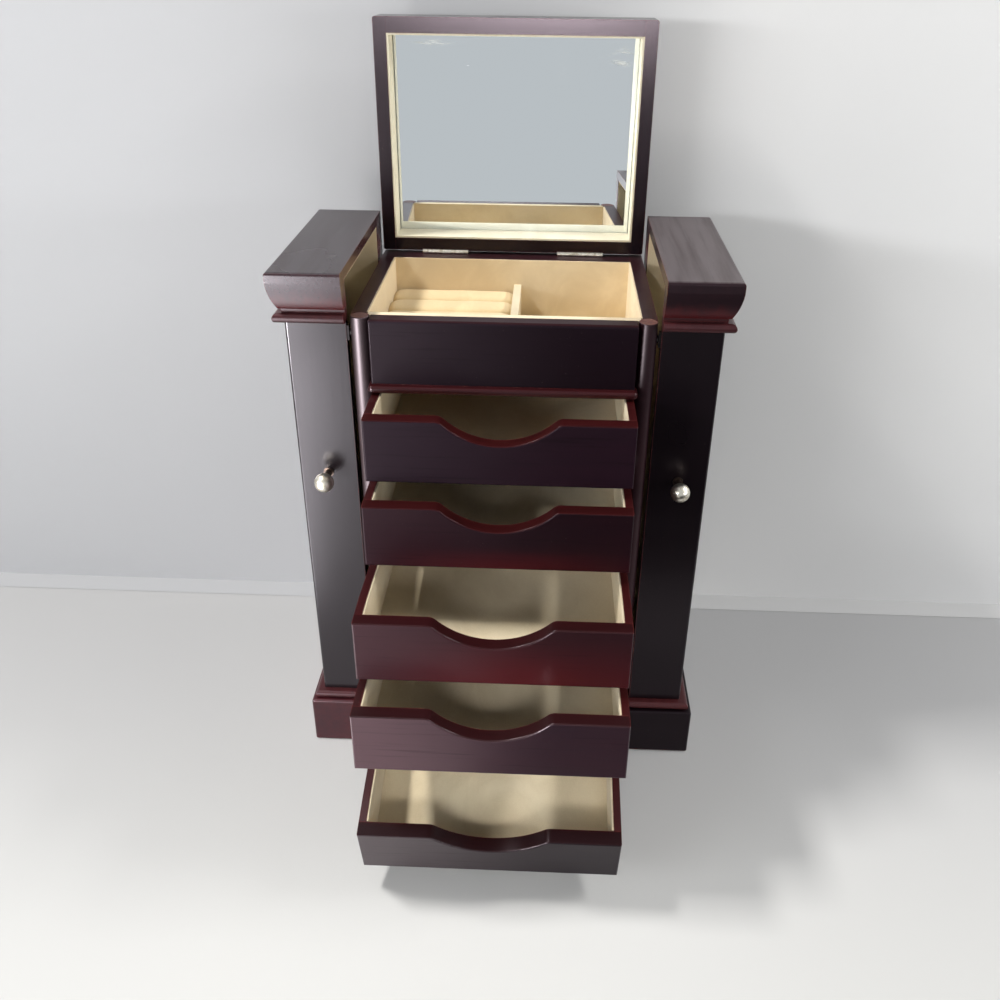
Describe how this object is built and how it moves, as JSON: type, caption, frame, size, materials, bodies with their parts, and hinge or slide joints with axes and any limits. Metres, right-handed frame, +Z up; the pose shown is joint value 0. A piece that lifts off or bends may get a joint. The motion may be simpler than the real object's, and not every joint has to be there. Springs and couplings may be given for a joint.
{
  "type": "vanity box with mirror",
  "caption": "Dark wood vanity and jewellery box with a lift-up mirror lid over a lined tray, a stack of scooped drawers and two swing-out side columns.",
  "frame": {"origin": "centre of the case's footprint, on the table", "axes": "+Z up, +Y to the back so the drawers face -Y, +X to the right seen from the front"},
  "size_m": [0.3046, 0.3431, 0.5258],
  "materials": {
    "dark_wood": "satin dark cherry lacquer",
    "plain_wood": "bare",
    "cream_lining": "flocked",
    "mirror_glass": "polished",
    "nickel": "satin nickel plate",
    "nylon": "matt",
    "base_felt": "felt"
  },
  "bodies": {
    "case": {"back_panel": "dark_wood", "base_apron": "dark_wood", "base_board": "plain_wood", "base_felt": "base_felt", "bullnose_rail": "dark_wood", "case_hinge_leaves": "nickel", "case_magnets": "nickel", "case_screws": "nickel", "corner_post_left": "dark_wood", "corner_post_right": "dark_wood", "drawer_glides": "nylon", "drawer_rails": "dark_wood", "drawer_runners": "plain_wood", "false_front": "dark_wood", "hinge_rail": "dark_wood", "ring_rolls": "cream_lining", "side_panel_left": "dark_wood", "side_panel_right": "dark_wood", "tray_divider": "cream_lining", "tray_floor": "plain_wood", "tray_lining": "cream_lining"},
    "lid": {"lid_frame": "dark_wood", "lid_hinge_leaves": "nickel", "lid_lining": "cream_lining", "lid_mirror": "mirror_glass", "lid_panel": "dark_wood", "lid_screws": "nickel"},
    "drawer_1": {"drawer_1_box": "dark_wood", "drawer_1_front": "dark_wood", "drawer_1_lining": "cream_lining"},
    "drawer_2": {"drawer_2_box": "dark_wood", "drawer_2_front": "dark_wood", "drawer_2_lining": "cream_lining"},
    "drawer_3": {"drawer_3_box": "dark_wood", "drawer_3_front": "dark_wood", "drawer_3_lining": "cream_lining"},
    "drawer_4": {"drawer_4_box": "dark_wood", "drawer_4_front": "dark_wood", "drawer_4_lining": "cream_lining"},
    "drawer_5_rollers": {"drawer_5_glides": "nylon"},
    "drawer_5": {"drawer_5_box": "dark_wood", "drawer_5_front": "dark_wood", "drawer_5_lining": "cream_lining"},
    "column_left": {"column_left_cap": "dark_wood", "column_left_fittings": "nickel", "column_left_hooks": "nickel", "column_left_knob": "nickel", "column_left_lining": "cream_lining", "column_left_mouldings": "dark_wood", "column_left_plinth": "dark_wood", "column_left_shaft": "dark_wood"},
    "column_right": {"column_right_cap": "dark_wood", "column_right_fittings": "nickel", "column_right_hooks": "nickel", "column_right_knob": "nickel", "column_right_lining": "cream_lining", "column_right_mouldings": "dark_wood", "column_right_plinth": "dark_wood", "column_right_shaft": "dark_wood"}
  },
  "joints": [
    {"name": "lid_hinge", "type": "hinge", "parent": "case", "child": "lid", "pos_m": [0, 0.074, 0.36215], "axis": [1, 0, 0], "range_deg": [0, 91]},
    {"name": "column_right_hinge", "type": "hinge", "parent": "case", "child": "column_right", "pos_m": [0.1013, 0.0831, 0.2], "axis": [0, 0, 1], "range_deg": [0, 90]},
    {"name": "column_left_hinge", "type": "hinge", "parent": "case", "child": "column_left", "pos_m": [-0.1013, 0.0831, 0.2], "axis": [0, 0, -1], "range_deg": [0, 90]},
    {"name": "drawer_1_slide", "type": "slide", "parent": "case", "child": "drawer_1", "axis": [0, -1, 0], "range_m": [-0.04448, 0.10351]},
    {"name": "drawer_2_slide", "type": "slide", "parent": "case", "child": "drawer_2", "axis": [0, -1, 0], "range_m": [-0.06494, 0.08306]},
    {"name": "drawer_3_slide", "type": "slide", "parent": "case", "child": "drawer_3", "axis": [0, -1, 0], "range_m": [-0.11904, 0.02896]},
    {"name": "drawer_4_slide", "type": "slide", "parent": "case", "child": "drawer_4", "axis": [0, -1, 0], "range_m": [-0.14554, 0.00246]},
    {"name": "drawer_5_tip", "type": "hinge", "parent": "case", "child": "drawer_5_rollers", "pos_m": [0, -0.079, 0.0592], "axis": [1, 0, 0], "range_deg": [-15, 0]},
    {"name": "drawer_5_slide", "type": "slide", "parent": "drawer_5_rollers", "child": "drawer_5", "axis": [0, 0.9659, 0.2588], "range_m": [0, 0.1505]}
  ],
  "couplings": [
    {"joint": "drawer_5_tip", "follows": "drawer_5_slide", "rad_per_m": -1.7395}
  ]
}
